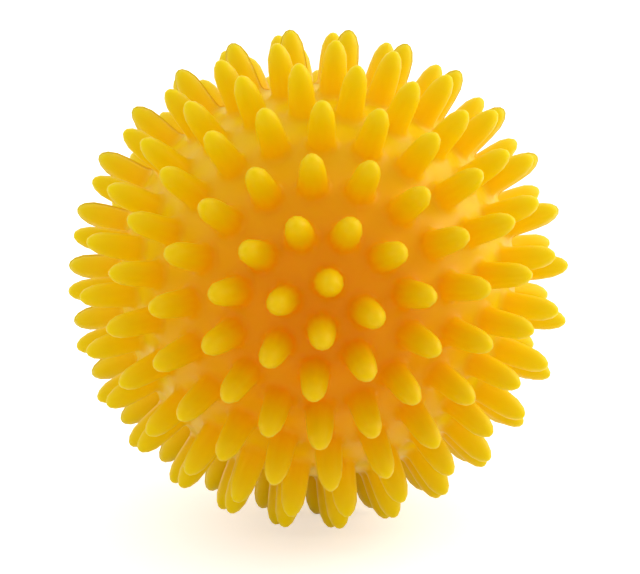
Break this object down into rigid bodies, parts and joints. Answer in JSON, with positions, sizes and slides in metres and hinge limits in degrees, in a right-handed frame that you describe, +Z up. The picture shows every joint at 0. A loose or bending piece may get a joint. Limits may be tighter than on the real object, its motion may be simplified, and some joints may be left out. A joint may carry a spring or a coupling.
{
  "type": "spiky massage ball",
  "caption": "Hollow soft massage ball with rounded spikes all over and a plugged air valve, rolled by hand over the muscles of the back, hands or feet.",
  "frame": {"origin": "centre of the ball", "axes": "Y is the axis of the mould's two halves: +Y goes out through the air valve and -Y through the front half's middle spike. +Z is up and X runs across."},
  "size_m": [0.0798, 0.0792, 0.0797],
  "materials": {
    "skin_vinyl": "soft translucent yellow vinyl, moulded, with a satin gloss",
    "bush_vinyl": "firmer yellow vinyl, moulded, satin",
    "plug_vinyl": "cream vinyl, moulded, satin"
  },
  "bodies": {
    "ball": {"ball_skin": "skin_vinyl", "valve_bush": "bush_vinyl"},
    "plug": {"valve_plug": "plug_vinyl"}
  },
  "joints": [
    {"name": "plug_pull", "type": "slide", "parent": "ball", "child": "plug", "axis": [0, 1, 0], "range_m": [0, 0.012]}
  ]
}
